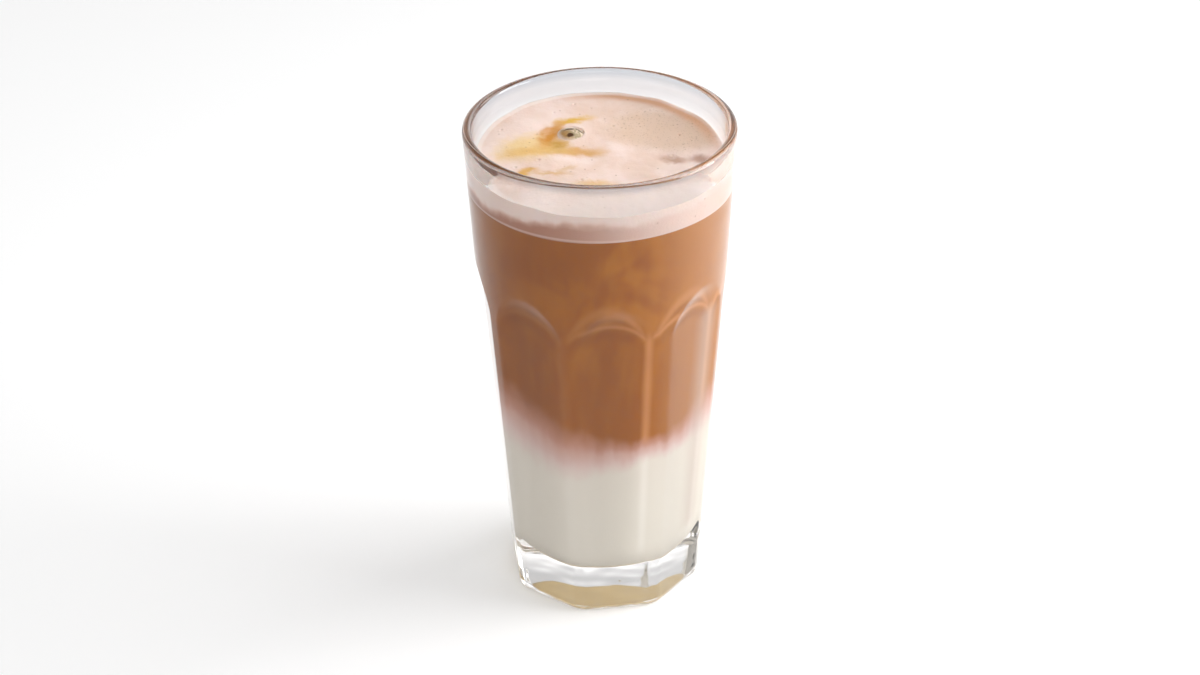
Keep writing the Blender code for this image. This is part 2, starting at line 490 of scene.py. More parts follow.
        # The sweet film varies at random and is painted paler towards the lit side, as painted light.
        pale = self.film_lit_side.at(side) + graph.sway(1.4, 160.0, 3.0, 0.8)
        syrup = graph.paint(self.syrup, (pale, self.pale_and_lit_syrup))
        colour = graph.paint(
            self.milk,
            (gathered * self.milk_share, self.bright_milk),
            (self.tinting.at(share), self.tinted_milk),
            (self.mixing.at(share), self.rosy_coffee),
            (self.browning.at(share), coffee),
            # Painted light of the wall's edge band.
            (edge * self.edge_top.at(z) * self.edge_foot.at(z), self.wall_light),
            (self.film.at(z), syrup),
        )
        others = {
            "Specular IOR Level": 0.0,
            # Painted light: an emission on the sweet film under the milk stands in for the light that
            # reaches it.
            "Emission Color": graph.paint((0, 0, 0), (self.painted_glow_fade.at(z), syrup)),
            "Emission Strength": self.painted_glow_strength,
        }
        return graph.finish(colour, 0.5, others)

    def relief(self, graph: Graph) -> tuple[Value, Value]:
        """Painted light and shade where the ribs and arches gather light on the drink or take it away.

        Args:
            graph: The graph of the material.

        Returns:
            How much light is gathered and how much is taken away, from 0 to 1.
        """
        glass = Tumbler()
        z = graph.z
        pitch = math.tau / glass.panels
        turn = graph.turn() + self.shift
        angle = turn.math("WRAP", turn, pitch / 2, -pitch / 2)
        lower = (glass.shoulder_radius - glass.foot_radius) / glass.shoulder_height
        whole = z * lower + glass.foot_radius / MM
        side = whole * glass.flat_ratio * angle.math("TANGENT", angle)
        above = (z + self.arch_lift - glass.arch_centre / MM).maximum(0.0)
        inner = side.hypot(above) - glass.arch_radius / MM
        depth = angle.math("COSINE", angle) - glass.flat_ratio
        outer = inner - whole * depth * glass.cove_slope
        rib = (whole * glass.flat_ratio * math.tan(pitch / 2)) - angle.math("ABSOLUTE", side)
        top, lit = self.arch_foot.at(z), self.lit.at(graph.x)
        ribs = rib.bell(self.rib_width) * self.rib_top.at(z) * self.rib_foot.at(z) * lit
        crests = outer.bell(self.crest_width) * (lit * self.crest_light[1] + self.crest_light[0])
        arches = inner.bell(self.arch_width) * (lit * self.arch_light[1] + self.arch_light[0])
        below = (inner + self.shade_width).bell(self.shade_width) * self.shade.at(z)
        cove = (inner - self.cove_inset).bell(self.cove_width) * top * self.cove_shade
        cove = cove * (outer + self.cove_inset).bell(self.cove_width)
        return ribs.maximum(crests.maximum(arches) * top), below.maximum(cove)


@dataclass(frozen=True)
class Spot:
    """An oval patch of colour, in millimetres and degrees.

    Attributes:
        x, y: Its middle.
        length, width: Half its length and half its width.
        turn: Direction of its length from +X towards +Y.
        softness: Share of its size over which it fades.
        colour: Its colour.
        strength: How much of the colour shows at most.
    """

    x: float
    y: float
    length: float
    width: float
    turn: float
    softness: float
    colour: Colour
    strength: float

    def mask(self, x: Value, y: Value) -> Value:
        """How much of the patch shows.

        Args:
            x: Place along X.
            y: Place along Y.

        Returns:
            Its share, from 0 to its strength.
        """
        cosine = math.cos(math.radians(self.turn))
        sine = math.sin(math.radians(self.turn))
        along = ((x - self.x) * cosine + (y - self.y) * sine) / self.length
        across = ((y - self.y) * cosine - (x - self.x) * sine) / self.width
        return along.hypot(across).step(1.0 + self.softness, 1.0 - self.softness) * self.strength


@dataclass(frozen=True)
class FoamFinish:
    """Fine milk foam with a coffee-stained top and a brown tint at the bottom of its side, under
    painted shade that is strongest on the shaded side; two hollows of the top hold painted shade.

    Attributes:
        name: Name of the material.
        foam, pale_foam: Colours of the foam and of its paler clouds.
        front_foam: Colour at the front and along the rim on the dark side.
        low_foam_and_shade, wet_and_shaded_foam: Colours low on the side, a brown tint with painted
        shade, and at its bottom on the shaded side, wet foam with painted shade.
        crema: Colour of the line along the wall at the back.
        bubble: Colour of the open bubbles.
        wobble: Distance over which the edges of each stain and shaded hollow are ragged.
        front, front_share: How the front's colour sets in along Y, and how strongly it shows.
        rim, rim_side: How the same colour sets in towards the wall, and along X.
        shaded_side: How the shaded side, where painted shade darkens the foam's side, sets in.
        low, wet_shade: How the side's two tints, both partly painted shade, set in below the surface.
        low_share: How much of the first shows on the lit side.
        left_drop: How much lower both begin at the left.
        line, line_width, line_share: Height, half width and strength of the pale line at the foam's
            bottom.
    """

    name: str = "Milk foam"
    foam: Colour = (230, 202, 186)
    pale_foam: Colour = (241, 218, 208)
    front_foam: Colour = (248, 232, 224)
    low_foam_and_shade: Colour = (220, 180, 160)
    wet_and_shaded_foam: Colour = (178, 124, 100)
    crema: Colour = (216, 164, 126)
    bubble: Colour = (160, 124, 98)
    wobble: float = 5.5
    front: Ramp = Ramp(-16.0, -31.0)
    front_share: float = 0.7
    rim: Ramp = Ramp(35.1, 35.8, 0.9)
    rim_side: Ramp = Ramp(24.0, -4.0)
    shaded_side: Ramp = Ramp(26.0, -26.0)
    low: Ramp = Ramp(1.2, 3.6)
    wet_shade: Ramp = Ramp(2.2, 5.0)
    low_share: float = 0.25
    left_drop: Ramp = Ramp(-14.0, -36.0, 3.5)
    line: float = 135.5
    line_width: float = 0.6
    line_share: float = 0.5

    def stains_and_shade(self) -> tuple[Spot, ...]:
        """Stains on the foam, the wide pale ones first, then painted shade in its two deepest hollows."""
        return (
            Spot(20.0, 11.0, 17.0, 12.0, 150.0, 0.35, (216, 186, 162), 0.80),
            Spot(-20.5, 6.6, 9.5, 6.5, 20.0, 0.60, (232, 200, 144), 0.95),
            Spot(-21.0, 3.4, 8.0, 2.2, 5.0, 0.80, (226, 182, 112), 0.90),
            Spot(-7.0, 1.9, 8.0, 2.4, -10.0, 0.70, (214, 164, 100), 0.95),
            Spot(-13.0, 4.2, 4.2, 2.6, -30.0, 0.80, (216, 176, 104), 0.80),
            Spot(-5.8, 20.4, 5.4, 1.9, 8.0, 0.70, (222, 176, 76), 1.0),
            Spot(-11.2, 17.0, 3.8, 2.0, 50.0, 0.80, (212, 152, 80), 0.95),
            Spot(-13.6, 11.0, 5.4, 3.0, 62.0, 0.75, (208, 140, 52), 1.0),
            Spot(-11.5, 6.6, 3.0, 1.7, -20.0, 0.80, (204, 156, 74), 0.95),
            Spot(-23.8, -9.0, 3.2, 1.6, 65.0, 0.70, (222, 168, 78), 0.95),
            Spot(-22.0, -7.0, 3.0, 1.0, -10.0, 0.80, (218, 166, 86), 0.80),
            Spot(-16.6, -9.6, 5.0, 0.9, -10.0, 0.90, (214, 172, 120), 0.80),
            Spot(-11.0, -7.8, 3.6, 0.8, 25.0, 0.90, (214, 178, 132), 0.60),
            Spot(-4.0, -18.6, 5.6, 2.2, -10.0, 0.80, (220, 178, 118), 0.85),
            # Painted shade in the two deepest hollows of the foam.
            Spot(20.8, -6.4, 4.2, 2.0, -25.0, 0.70, (190, 150, 128), 0.85),
            Spot(29.3, -7.8, 3.6, 2.2, -15.0, 0.70, (182, 142, 124), 0.85),
        )

    def material(self) -> Material:
        """Make the material.

        Returns:
            The material.
        """
        graph = Graph(self.name)
        x, y, z = graph.x, graph.y, graph.z
        wobble_x = x + graph.sway(self.wobble, 210.0, 4.0, 0.6)
        wobble_y = y + graph.sway(self.wobble, 180.0, 4.0, 1.1)
        front = self.front.at(y).maximum(self.rim.at(x.hypot(y)) * self.rim_side.at(x))
        # Painted shade: the foam's side is darker towards its shaded side.
        shaded_side = self.shaded_side.at(graph.side())
        low = self.low_share + shaded_side * (1 - self.low_share)
        shade = FoamCap.top / MM + y * FoamCap.tilt - z
        shade = shade + graph.sway(5.0, 130.0, 2.0, 0.2) + graph.sway(2.0, 300.0, 2.0, 0.3, 0.3)
        shade = shade - self.left_drop.at(x)
        colour = graph.paint(
            self.foam,
            (graph.noise(70.0, 3.0, 0.5).step(0.35, 0.65), self.pale_foam),
            *((stain.mask(wobble_x, wobble_y), stain.colour) for stain in self.stains_and_shade()),
            (self.crema_ring(x, y), self.crema),
            (front * self.front_share, self.front_foam),
            (self.fine_bubbles(graph), self.bubble),
            # Painted shade on the side, with the brown tint near the coffee and the wet foam at the bottom.
            (self.low.at(shade) * low, self.low_foam_and_shade),
            (self.wet_shade.at(shade) * shaded_side, self.wet_and_shaded_foam),
            ((z - self.line).bell(self.line_width) * self.line_share, self.pale_foam),
        )
        others = {
            "Specular IOR Level": 0.3,
            "Subsurface Weight": 0.35,
            "Subsurface Radius": (1.0, 0.6, 0.4),
            "Subsurface Scale": 2.0 * MM,
            "Normal": graph.bump(graph.noise(1400.0, 2.0), 0.08 * MM),
        }
        return graph.finish(colour, 0.55, others)

    def crema_ring(self, x: Value, y: Value) -> Value:
        """Brown line along the wall, at the back on the pale side.

        Args:
            x: Place along X.
            y: Place along Y.

        Returns:
            How much of the line shows.
        """
        radius = x.hypot(y)
        line = radius.step(31.2, 34.4) * radius.step(36.6, 34.9)
        return line * ((x * 0.66 + y * 0.75) / 34.0).step(0.50, 0.98) * 0.9

    def fine_bubbles(self, graph: Graph) -> Value:
        """Tiny dark bubbles, dense in the tan area.

        Args:
            graph: The graph of the material.

        Returns:
            How much of their colour shows.
        """
        cells = graph.node("ShaderNodeTexVoronoi", None, {"Vector": graph.place, "Scale": 700.0})
        distance = Value(graph, cells.outputs["Distance"])
        picked = graph.value("ShaderNodeSeparateXYZ", None, {0: cells.outputs["Color"]})
        area = Spot(20.0, 10.0, 18.0, 13.0, 150.0, 0.4, self.bubble, 1.0).mask(graph.x, graph.y)
        shown = picked.step(0.93, 0.95).maximum(picked.step(0.62, 0.66) * area)
        pores = graph.value("ShaderNodeTexVoronoi", None, {"Vector": graph.place, "Scale": 1300.0})
        fine = pores.step(0.34, 0.14) * area * 0.35
        return (distance.step(0.26, 0.12) * shown * 0.55).maximum(fine)


@dataclass(frozen=True)
class IceFinish:
    """Wet ice with foam on its flanks and painted reflections: dark glints that show the coffee and the dark
    surroundings.

    Attributes:
        name: Name of the material.
        film, clear: Colours of the ice under its milky film and without it.
        flank: Colour of the foam that covers the cube round its tip.
        gap, speck: Colours of the painted dark glints, reflections of the coffee and the surroundings,
        and of the specks.
    """

    name: str = "Wet ice"
    film: Colour = (220, 200, 176)
    clear: Colour = (172, 156, 124)
    flank: Colour = (234, 212, 197)
    gap: Colour = (84, 56, 34)
    speck: Colour = (168, 132, 84)

    def patches(self) -> tuple[Spot, ...]:
        """Pale film along the back, brown edges, and the painted dark glints."""
        return (
            Spot(-6.4, 14.8, 4.4, 1.0, 0.0, 0.60, (242, 226, 212), 0.90),
            Spot(-9.6, 10.4, 2.0, 3.0, 20.0, 0.80, (182, 138, 80), 0.95),
            # The last three are painted reflections: dark glints of the coffee and the surroundings.
            Spot(-7.5, 9.8, 1.25, 0.62, 5.0, 0.35, self.gap, 1.0),
            Spot(-7.7, 12.6, 1.5, 0.60, 4.0, 0.35, (104, 82, 60), 1.0),
            Spot(-4.6, 12.5, 1.2, 0.45, -35.0, 0.35, self.gap, 1.0),
        )

    def material(self) -> Material:
        """Make the material.

        Returns:
            The material.
        """
        graph = Graph(self.name)
        x = graph.x
        wobble_x = x + graph.sway(1.6, 520.0, 3.0, 0.4)
        wobble_y = graph.y + graph.sway(1.2, 470.0, 3.0, 0.7)
        specks = graph.noise(1500.0, 2.0, 0.5).step(0.58, 0.68)
        colour = graph.paint(
            self.film,
            (graph.noise(520.0, 3.0, 0.8).step(0.44, 0.56), self.clear),
            (specks * x.step(-4.0, -8.0) * 0.9, self.speck),
            *((patch.mask(wobble_x, wobble_y), patch.colour) for patch in self.patches()),
        )
        inside = Spot(-6.8, 12.0, 3.9, 3.9, 0.0, 0.22, self.film, 1.0).mask(wobble_x, wobble_y)
        colour = graph.paint(self.flank, (inside, colour))
        others = {
            "Specular IOR Level": 0.35,
            "IOR": 1.31,
            "Transmission Weight": 0.15,
            "Normal": graph.bump(graph.noise(600.0, 3.0, 0.5), 0.15 * MM),
        }
        return graph.finish(colour, 0.42, others)


@dataclass(frozen=True)
class FloorFinish:
    """Bright matt white surface.

    Attributes:
        name: Name of the material.
        white, bright: Colours of the surface and of its brighter clouds.
    """

    name: str = "White surface"
    white: Colour = (250, 250, 250)
    bright: Colour = (252, 252, 252)

    def material(self) -> Material:
        """Make the material.

        Returns:
            The material.
        """
        graph = Graph(self.name)
        colour = graph.paint(self.white, (graph.noise(3.0, 1.0), self.bright))
        return graph.finish(colour, 0.8, {"Specular IOR Level": 0.2})


class Workshop:
    """Modelling steps that every piece shares."""

    @staticmethod
    def deselect() -> None:
        """Leave edit mode and deselect every object."""
        if bpy.context.object and bpy.context.object.mode != "OBJECT":
            bpy.ops.object.mode_set(mode="OBJECT")
        bpy.ops.object.select_all(action="DESELECT")

    @staticmethod
    def named(name: str) -> Piece:
        """Name the active object and its mesh.

        Args:
            name: Their name.

        Returns:
            The object.
        """
        piece = bpy.context.object
        piece.name = name
        piece.data.name = name
        return piece

    @staticmethod
    @contextmanager
    def editing(threshold: float = MICRON) -> Iterator[None]:
        """Edit mode with everything selected, and a clean closed mesh at its end.

        Args:
            threshold: Distance below which points are merged.
        """
        bpy.ops.object.mode_set(mode="EDIT")
        bpy.ops.mesh.select_all(action="SELECT")
        yield
        bpy.ops.mesh.select_all(action="SELECT")
        bpy.ops.mesh.remove_doubles(threshold=threshold)
        bpy.ops.mesh.normals_make_consistent(inside=False)
        bpy.ops.object.mode_set(mode="OBJECT")

    @classmethod
    def turned(cls, name: str, outline: Sequence[Point], columns: int) -> Piece:
        """Solid of revolution about Z, drawn point by point and spun.

        Args:
            name: Name of the piece.
            outline: Points (radius, height) from one place on the axis to another.
            columns: Number of steps round the axis.

        Returns:
            The piece, closed and facing outwards.
        """
        cls.deselect()
        bpy.ops.mesh.primitive_plane_add(size=MM)
        piece = cls.named(name)
        with cls.editing():
            bpy.ops.mesh.merge(type="CENTER")
            bpy.ops.transform.translate(value=(outline[0][0], 0.0, outline[0][1]))
            for before, after in zip(outline, outline[1:]):
                move = (after[0] - before[0], 0.0, after[1] - before[1])
                bpy.ops.mesh.extrude_vertices_move(TRANSFORM_OT_translate={"value": move})
            bpy.ops.mesh.select_all(action="SELECT")
            bpy.ops.mesh.spin(steps=columns, angle=math.tau, center=(0, 0, 0), axis=(0, 0, 1))
        return piece

    @classmethod
    def dress(cls, piece: Piece, material: Material, slot: str, *nodes: str) -> None:
        """Give a piece its material, hang it under the root and hide the solids that it replaces.

        Args:
            piece: The finished piece.
            material: Its material.
            slot: Not used.
            nodes: The solids that it replaces.
        """
        cls.deselect()
        piece.data.materials.clear()
        piece.data.materials.append(material)
        piece.select_set(True)
        bpy.context.view_layer.objects.active = piece
        bpy.ops.object.shade_smooth_by_angle(angle=SMOOTH_ANGLE)
        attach(piece, "root")
        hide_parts(*nodes)
        faces = sum(len(face.vertices) - 2 for face in piece.data.polygons)
        LOG.info("%s: %d triangles", piece.name, faces)


@dataclass(frozen=True)
class Tumbler:
    """The pressed-glass tumbler, round at the mouth and eight-sided below its shoulder.

    Attributes:
        height, rim_radius: Height of the rim and outer radius of the mouth.
        shoulder_height, shoulder_radius: Where the slope of the outer wall changes.
        foot_radius, foot_round: Outer radius at the foot, and radius of its rounded edge.
        recess_radius, recess_height: Size of the shallow dome under the foot.
        groove_depth: Depth of the groove in the ring round the dome.
        ripple, ripple_scale: Height of the dome's unevenness, and its waves in each metre.
        lip_radius: Half the thickness of the lip.
        neck_height, neck_radius: Top of the inner wall's straight part, were it not flared.
        flare_height: Height at which the inner wall begins to flare towards the lip.
        floor_wall_height, floor_wall_radius: Bottom of the inner wall's straight part.
        floor_height, floor_dish: Height of the inner floor's middle, and how much higher its edge is.
        floor_corner: Radius of the inner corner between floor and wall.
        inner_rows: Heights of the inner rows, in millimetres.
        panels: Number of flat panels.
        flat_ratio: Distance of a flat from the axis, as a share of the round radius.
        top_corner, foot_corner: Rounding between two flats at the shoulder and at the foot, as a
            share of their distance.
        corner_height: Height from which the rounding is that of the shoulder.
        fold: Depth over which flats, coves and the round body run into each other.
        crowding: How closely the columns crowd at the ribs between the flats.
        arch_radius, arch_centre: Radius of the arch that ends a flat, and height of its centre.
        arch_reach, arch_fade: Half its width, and the distance beside it over which the rows level.
        cove_slope, cove_fold: Steepness of the cove above the arch, as rise over depth, and the
            depth over which it runs into the flat.
        row_rise, row_fall: Heights between which the rows begin and cease to follow the arches.
        columns: Fineness round the axis.
    """

    height: float = 0.155
    rim_radius: float = 0.0409
    shoulder_height: float = 0.107
    shoulder_radius: float = 0.0381
    foot_radius: float = 0.0299
    foot_round: float = 0.0014
    recess_radius: float = 0.0245
    recess_height: float = 0.0014
    groove_depth: float = 0.0004
    ripple: float = 0.0003
    ripple_scale: float = 130.0
    lip_radius: float = 0.0014
    neck_height: float = 0.147
    neck_radius: float = 0.0366
    flare_height: float = 0.140
    floor_wall_height: float = 0.0205
    floor_wall_radius: float = 0.0258
    floor_height: float = 0.0118
    floor_dish: float = 0.0004
    floor_corner: float = 0.0105
    inner_rows: tuple[int, ...] = (*range(30, 140, 12), *range(141, 153))
    panels: int = 8
    flat_ratio: float = 0.945
    top_corner: float = 0.04
    foot_corner: float = 0.10
    corner_height: float = 0.095
    fold: float = 0.0003
    crowding: float = 0.20
    arch_radius: float = 0.017
    arch_centre: float = 0.090
    arch_reach: float = 0.0118
    arch_fade: float = 0.002
    cove_slope: float = 2.6
    cove_fold: float = 0.0022
    row_rise: Span = (0.070, 0.100)
    row_fall: Span = (0.135, 0.114)
    columns: int = 384

    def round_radius(self, height: float) -> float:
        """Outer radius of the round body at a height.

        Args:
            height: The height.

        Returns:
            The radius.
        """
        lower = (self.shoulder_radius - self.foot_radius) / self.shoulder_height
        rise = self.height - self.lip_radius - self.shoulder_height
        upper = (self.rim_radius - self.shoulder_radius) / rise
        above = max(height - self.shoulder_height, 0.0)
        return self.foot_radius + lower * height + (upper - lower) * above

    def inner_radius(self, height: float) -> float:
        """Radius of the inner wall at a height above the floor's corner.

        Args:
            height: The height.

        Returns:
            The radius.
        """
        run = self.neck_height - self.floor_wall_height
        slope = (self.neck_radius - self.floor_wall_radius) / run
        straight = self.neck_radius + slope * (height - self.neck_height)
        top = self.height - self.lip_radius
        flare = self.rim_radius - 2 * self.lip_radius
        flare -= self.neck_radius + slope * (top - self.neck_height)
        share = max(height - self.flare_height, 0.0) / (top - self.flare_height)
        return straight + flare * share * share

    def floor_outline(self, grown: float, steps: int) -> list[Point]:
        """Inside of the floor from the axis to the straight wall.

        Args:
            grown: How far the outline is moved into the glass.
            steps: Fineness of the rounded corner.

        Returns:
            Points (radius, height).
        """
        run = self.neck_height - self.floor_wall_height
        lean = -math.atan((self.neck_radius - self.floor_wall_radius) / run)
        centre_height = self.floor_height + self.floor_dish + self.floor_corner
        centre_radius = self.inner_radius(centre_height) - self.floor_corner / math.cos(lean)
        points = [(0.0, self.floor_height - grown), (centre_radius / 2, self.floor_height - grown)]
        centre = (centre_radius, centre_height)
        return points + arc(centre, self.floor_corner + grown, (-math.pi / 2, lean), steps)

    def outline(self) -> list[Point]:
        """Whole outline from the inner floor over the lip and down the outer side.

        Returns:
            Points (radius, height).
        """
        lip_centre = (self.rim_radius - self.lip_radius, self.height - self.lip_radius)
        points = self.floor_outline(0.0, 20)
        points += [(self.inner_radius(level * MM), level * MM) for level in self.inner_rows]
        points += arc(lip_centre, self.lip_radius, (math.pi, 0.0), 16)
        points += [(self.round_radius(level), level) for level in self.outer_levels()]
        return points + self.foot_outline(6)

    def outer_levels(self) -> list[float]:
        """Heights of the outer rows, close together at the shoulder.

        Returns:
            The heights, from the top down.
        """
        rows = [(150, 117, 4.0), (116, 108.6, 0.4), (108.2, 105.4, 0.25), (104.8, 92, 0.8)]
        rows += [(90, 14, 6.0), (9, 3, 2.0), (2.4, 1.5, 0.4)]
        levels = []
        for top, bottom, gap in rows:
            count = round((top - bottom) / gap)
            levels += [(top + (bottom - top) * step / count) * MM for step in range(count + 1)]
        return levels

    def foot_outline(self, steps: int) -> list[Point]:
        """Rounded edge of the foot, the ring that it stands on, and the dome inside the ring.

        Args:
            steps: Fineness of the rounded edge.

        Returns:
            Points (radius, height).
        """
        outside = self.foot_radius - self.foot_round
        points = arc((outside, self.foot_round), self.foot_round, (0.0, -math.pi / 2), steps)
        for step in range(1, 2 * steps):
            share = step / (2 * steps)
            depth = self.groove_depth * math.sin(math.pi * share) ** 4
            points.append((outside - (outside - self.recess_radius) * share, depth))
        for step in range(4 * steps + 1):
            share = 1 - step / (4 * steps)
            points.append((self.recess_radius * share, self.recess_height * (1 - share * share)))
        return points

    def roughen_recess(self, mesh: Mesh) -> None:
        """Make the dome under the foot uneven, as pressing leaves it.

        Args:
            mesh: The tumbler's mesh.
        """
        for vertex in mesh.vertices:
            share = math.hypot(vertex.co.x, vertex.co.y) / self.recess_radius
            if share < 1 and vertex.co.z < self.recess_height + TINY:
                fade = 1 - share * share
                vertex.co.z += self.ripple * noise.noise(vertex.co * self.ripple_scale) * fade

    def flat_section(self, angle: float, flat: float, corner: float) -> float:
        """Radius of an eight-sided section with rounded corners.

        Args:
            angle: Angle from the middle of a side.
            flat: Distance of the sides from the axis.
            corner: Radius of the rounded corners.

        Returns:
            Radius of the section in that direction.
        """
        half = math.pi / self.panels
        if math.tan(angle) * flat <= (flat - corner) * math.tan(half):
            return flat / math.cos(angle)
        centre = (flat - corner) / math.cos(half)
        offset = half - angle
        return centre * math.cos(offset) + math.sqrt(corner**2 - (centre * math.sin(offset)) ** 2)

    def arch_drop(self, side: float) -> float:
        """How far the arch lies below its top.

        Args:
            side: Distance from the panel's middle.

        Returns:
            The depth.
        """
        reach = min(side, self.arch_reach)
        drop = self.arch_radius - math.sqrt(self.arch_radius**2 - reach**2)
        slope = reach / math.sqrt(self.arch_radius**2 - reach**2)
        beyond = side - reach
        return drop + slope * beyond * math.exp(-beyond / self.arch_fade)

    def panel_radius(self, angle: float, height: float) -> float:
        """Outer radius once the panels are pressed in.

        Args:
            angle: Angle from the middle of the nearest panel.
            height: Height of the point.

        Returns:
            The radius there.
        """
        whole = self.round_radius(height)
        flat = self.flat_ratio * whole
        share = smooth_step(height, 0.0, self.corner_height)
        corner = flat * (self.foot_corner + (self.top_corner - self.foot_corner) * share)
        side = whole * math.sin(angle)
        above = max(height - self.arch_centre, 0.0)
        distance = math.hypot(side, above) if above > 0 else side
        cove = -smooth_minimum(0.0, self.arch_radius - distance, self.cove_fold) / self.cove_slope
        pressed = self.flat_section(angle, flat + cove, corner)
        return smooth_minimum(whole, pressed, self.fold)

    def press_panels(self, mesh: Mesh) -> None:
        """Move the outer wall's points onto the panels, rows following the arches.

        Args:
            mesh: The tumbler's mesh.
        """
        pitch = math.tau / self.panels
        for vertex in mesh.vertices:
            x, y, height = vertex.co
            radius = math.hypot(x, y)
            middle = (self.inner_radius(max(height, 0.0)) + self.round_radius(height)) / 2
            if height > self.row_fall[0] or radius < middle:
                continue
            turn = math.atan2(x, -y)
            turn += self.crowding * math.sin(math.tau * math.remainder(turn, pitch) / pitch) * pitch / 2
            angle = abs(math.remainder(turn, pitch))
            side = self.flat_ratio * self.shoulder_radius * math.tan(angle)
            follow = smooth_step(height, *self.row_rise) * smooth_step(height, *self.row_fall)
            level = height - self.arch_drop(side) * follow
            share = radius / self.round_radius(height)
            pressed = self.panel_radius(angle, level) * share
            vertex.co = (pressed * math.sin(turn), -pressed * math.cos(turn), level)

    def build(self) -> Piece:
        """Model the tumbler and dress it.

        Returns:
            The piece.
        """
        piece = Workshop.turned("tumbler", self.outline(), self.columns)
        self.press_panels(piece.data)
        self.roughen_recess(piece.data)
        Workshop.dress(piece, GlassFinish().material(), "clear_glass", "glass")
        return piece


class Layer(Enum):
    """The two layers of the drink below the foam."""

    MILK = "milk"
    COFFEE = "milk_coffee"


@dataclass(frozen=True)
class Drink:
    """Milk and coffee, which reach just into the wall so that no gap shows.

    Attributes:
        tumbler: The glass that holds them.
        overlap: How far they reach into the glass.
        milk_top: Middle height of the boundary between milk and coffee.
        milk_sway: How much lower the boundary is at the front than in the middle.
        milk_dip: How much the boundary rises at the sides.
        coffee_top, ripple: Height of the boundary between coffee and foam, and its unevenness.
        front: Angle from -Y towards +X where the milk stands lowest.
        columns: Fineness round the axis.
    """

    tumbler: Tumbler
    overlap: float = 0.0001
    milk_top: float = 0.0585
    milk_sway: float = 0.0030
    milk_dip: float = 0.0022
    coffee_top: float = 0.1352
    ripple: float = 0.0003
    front: float = math.radians(-7.5)
    columns: int = 192

    def milk_edge(self, x: float, y: float) -> float:
        """Height of the boundary between milk and coffee.

        Args:
            x: Place along X.
            y: Place along Y.

        Returns:
            The height there.
        """
        reach = math.hypot(x, y) / self.tumbler.inner_radius(self.milk_top)
        angle = math.atan2(x, -y) - self.front
        sway = self.milk_sway * reach * math.cos(angle)
        return self.milk_top - sway - self.milk_dip * reach**2 * math.cos(2 * angle)

    def coffee_edge(self, x: float, y: float) -> float:
        """Height of the boundary between coffee and foam."""
        reach = math.hypot(x, y) / self.tumbler.neck_radius
        return self.coffee_top + self.ripple * math.sin(3 * math.atan2(x, -y)) * reach

    def reach(self, height: float) -> float:
        """Radius just inside the glass at a height."""
        return self.tumbler.inner_radius(height) + self.overlap

    def level(self, height: float, rings: int) -> list[Point]:
        """Points of a level face from the axis to just inside the glass."""
        return [(self.reach(height) * ring / rings, height) for ring in range(rings + 1)]

    def shape(self, mesh: Mesh, level: float, edge: Callable[[float, float], float]) -> None:
        """Move a level face onto an uneven surface, following the leaning wall.

        Args:
            mesh: The layer's mesh.
            level: Height of the level face.
            edge: Height of the uneven surface above a point.
        """
        for vertex in mesh.vertices:
            if abs(vertex.co.z - level) > TINY:
                continue
            height = edge(vertex.co.x, vertex.co.y)
            share = self.reach(height) / self.reach(level)
            vertex.co = (vertex.co.x * share, vertex.co.y * share, height)

    def build(self, layer: Layer) -> Piece:
        """Model one layer and dress it.

        Args:
            layer: Which layer.

        Returns:
            The piece.
        """
        if layer is Layer.MILK:
            outline = self.level(self.milk_top, 8)
            outline += self.tumbler.floor_outline(self.overlap, 16)[::-1]
            name, node = "milk_layer", "milk"
        else:
            outline = self.level(self.coffee_top, 8) + self.level(self.milk_top, 8)[::-1]
            name, node = "coffee_layer", "coffee"
        piece = Workshop.turned(name, outline, self.columns)
        self.shape(piece.data, self.milk_top, self.milk_edge)
        if layer is Layer.COFFEE:
            self.shape(piece.data, self.coffee_top, self.coffee_edge)
        Workshop.dress(piece, DrinkFinish(f"Drink, {node}").material(), layer.value, node)
        return piece


@dataclass(frozen=True)
class IceCube:
    """One melted ice cube, whose corner breaks the foam.

    Attributes:
        side, rounding: Length of its edges, and radius of their melted rounding.
        place, peak: Where it lies, from above, and height of its highest point.
        turns: Degrees that it is turned about X, Y and Z.
        melt, melt_scale: How unevenly it has melted, and the waves of that in each metre.
    """

    side: float = 0.021
    rounding: float = 0.0062
    place: Point = (-0.0066, 0.0124)
    peak: float = 0.1478
    turns: tuple[float, float, float] = (43.0, 29.0, 22.0)
    melt: float = 0.00025
    melt_scale: float = 180.0

    def build(self) -> Piece:
        """Model the cube and dress it.

        Returns:
            The piece.
        """
        Workshop.deselect()
        bpy.ops.mesh.primitive_cube_add(size=self.side)
        piece = Workshop.named("ice_cube")
        with Workshop.editing(TINY):
            bpy.ops.mesh.bevel(offset=self.rounding, segments=12, profile=0.5, clamp_overlap=False)
        turn = Euler([math.radians(degrees) for degrees in self.turns]).to_matrix()
        for vertex in piece.data.vertices:
            melt = noise.noise(vertex.co * self.melt_scale) * self.melt
            vertex.co = turn @ (vertex.co * (1 + melt / self.side))
        highest = max(vertex.co.z for vertex in piece.data.vertices)
        shift = Vector((*self.place, self.peak - highest))
        piece.data.transform(Matrix.Translation(shift))
        Workshop.dress(piece, IceFinish().material(), "ice", "ice")
        return piece


